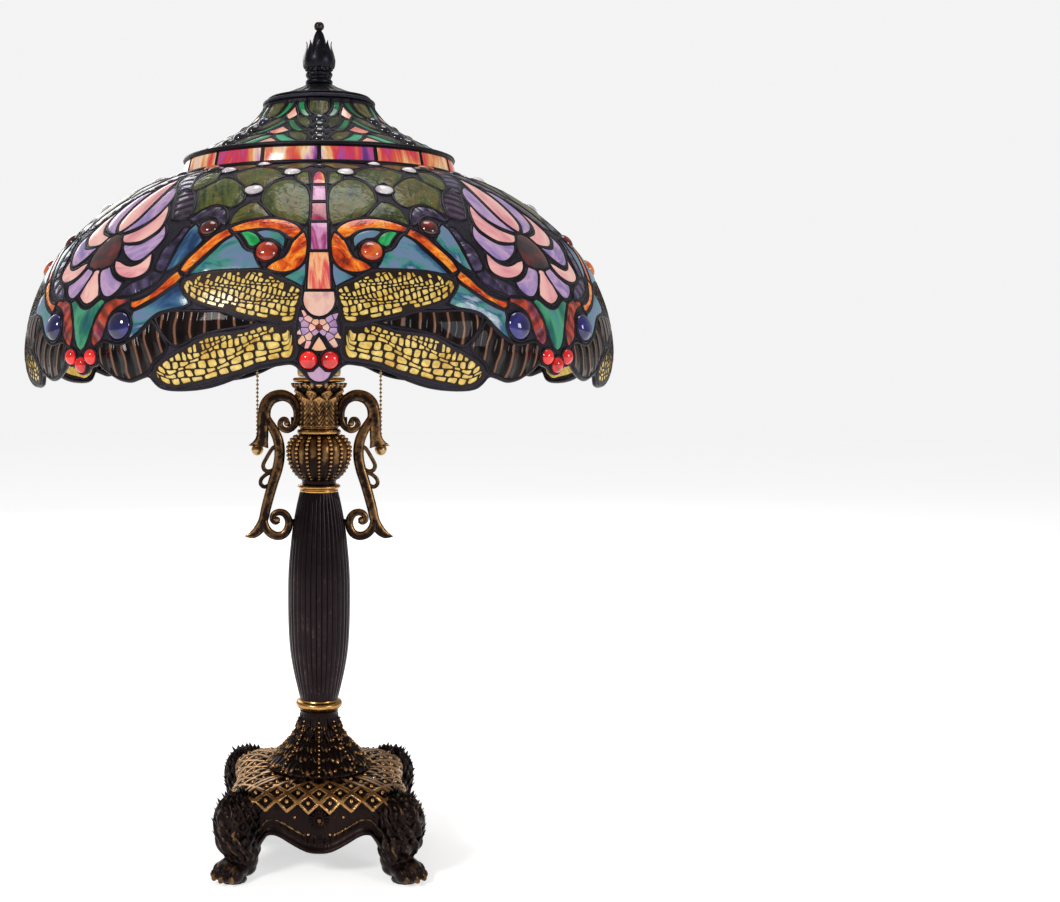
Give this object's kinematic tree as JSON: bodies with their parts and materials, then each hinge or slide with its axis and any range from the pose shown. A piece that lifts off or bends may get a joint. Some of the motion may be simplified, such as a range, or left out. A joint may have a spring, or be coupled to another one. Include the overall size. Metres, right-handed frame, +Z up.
{
  "type": "stained glass table lamp",
  "caption": "Table lamp with a leaded art-glass dragonfly and blossom dome shade, bulb cluster with pull chains, and a cast bronze scroll pedestal on a square paw-footed base.",
  "frame": {"origin": "centre of the base on the floor plane, under the felt pads", "axes": "+Z up along the column, -Y is the front, where one dragonfly faces, +X is to the right seen from the front, along the two scroll handles and bulbs"},
  "size_m": [0.4558, 0.4558, 0.658],
  "materials": {
    "bronze": "dark antique bronze, high points rubbed to gold",
    "gilt": "satin old gold",
    "brass": "satin brass",
    "steel": "zinc plated steel",
    "iron": "bare cast iron",
    "felt": "green felt",
    "black_plastic": "black moulded plastic",
    "porcelain": "white glazed porcelain",
    "lead": "blackened solder and came",
    "glass_crown": "opalescent green and brown art glass with glass jewels",
    "glass_band": "streaky pink and cream art glass",
    "glass_dragonfly": "opalescent amber, yellow and blue art glass",
    "glass_blossom": "opalescent pink, lavender and purple art glass",
    "bulb": "frosted bulb glass"
  },
  "bodies": {
    "root": {"base_casting": "bronze", "ballast_disc": "iron", "rod_washer": "steel", "rod_nut": "steel", "cord_bushing": "black_plastic", "leaf_cup": "bronze", "lower_ring": "gilt", "fluted_column": "bronze", "middle_ring": "gilt", "beaded_urn": "bronze", "upper_ring": "gilt", "leaf_neck": "bronze", "neck_dish": "brass", "scroll_left": "bronze", "scroll_right": "bronze", "lamp_pipe": "steel", "cluster_body": "brass", "riser_rod": "steel", "paw_pad_1": "felt", "paw_pad_2": "felt", "paw_pad_3": "felt", "paw_pad_4": "felt", "socket_cap_left": "brass", "socket_shell_left": "brass", "socket_core_left": "porcelain", "chain_guide_left": "brass", "socket_cap_right": "brass", "socket_shell_right": "brass", "socket_core_right": "porcelain", "chain_guide_right": "brass"},
    "shade_seat": {"shade_seat": "brass"},
    "shade": {"spider_plate": "brass", "top_ring": "lead", "heat_cap": "bronze", "crown_glass": "glass_crown", "band_glass": "glass_band", "dragonfly_panel_1": "glass_dragonfly", "dragonfly_panel_2": "glass_dragonfly", "dragonfly_panel_3": "glass_dragonfly", "dragonfly_panel_4": "glass_dragonfly", "blossom_panel_1": "glass_blossom", "blossom_panel_2": "glass_blossom", "blossom_panel_3": "glass_blossom", "blossom_panel_4": "glass_blossom"},
    "finial": {"finial": "bronze"},
    "bulb_left": {"bulb_base_left": "steel", "bulb_glass_left": "bulb"},
    "switch_left": {"chain_coupling_left": "brass"},
    "chain_left": {"pull_chain_left": "brass", "pull_ball_left": "brass"},
    "bulb_right": {"bulb_base_right": "steel", "bulb_glass_right": "bulb"},
    "switch_right": {"chain_coupling_right": "brass"},
    "chain_right": {"pull_chain_right": "brass", "pull_ball_right": "brass"}
  },
  "joints": [
    {"name": "shade_turn", "type": "hinge", "parent": "root", "child": "shade_seat", "pos_m": [0, 0, 0.5846], "axis": [0, 0, 1], "continuous": true},
    {"name": "shade_lift", "type": "slide", "parent": "shade_seat", "child": "shade", "axis": [0, 0, 1], "range_m": [0, 0.3]},
    {"name": "finial_unscrew", "type": "hinge", "parent": "shade", "child": "finial", "pos_m": [0, 0, 0.6078], "axis": [0, 0, 1], "range_deg": [0, 3240]},
    {"name": "bulb_unscrew_left", "type": "hinge", "parent": "root", "child": "bulb_left", "pos_m": [-0.0178, 0, 0.3996], "axis": [-0.788, 0, 0.6157], "range_deg": [0, 1980]},
    {"name": "chain_pull_left", "type": "slide", "parent": "root", "child": "switch_left", "axis": [0, 0, -1], "range_m": [0, 0.006], "stiffness_N_per_m": 600, "springref_m": -0.003},
    {"name": "chain_swing_left", "type": "hinge", "parent": "switch_left", "child": "chain_left", "pos_m": [-0.05, 0.022, 0.4136], "axis": [1, 0, 0], "range_deg": [-6, 30]},
    {"name": "bulb_unscrew_right", "type": "hinge", "parent": "root", "child": "bulb_right", "pos_m": [0.0178, 0, 0.3996], "axis": [0.788, 0, 0.6157], "range_deg": [0, 1980]},
    {"name": "chain_pull_right", "type": "slide", "parent": "root", "child": "switch_right", "axis": [0, 0, -1], "range_m": [0, 0.006], "stiffness_N_per_m": 600, "springref_m": -0.003},
    {"name": "chain_swing_right", "type": "hinge", "parent": "switch_right", "child": "chain_right", "pos_m": [0.05, 0.022, 0.4136], "axis": [1, 0, 0], "range_deg": [-6, 30]}
  ]
}
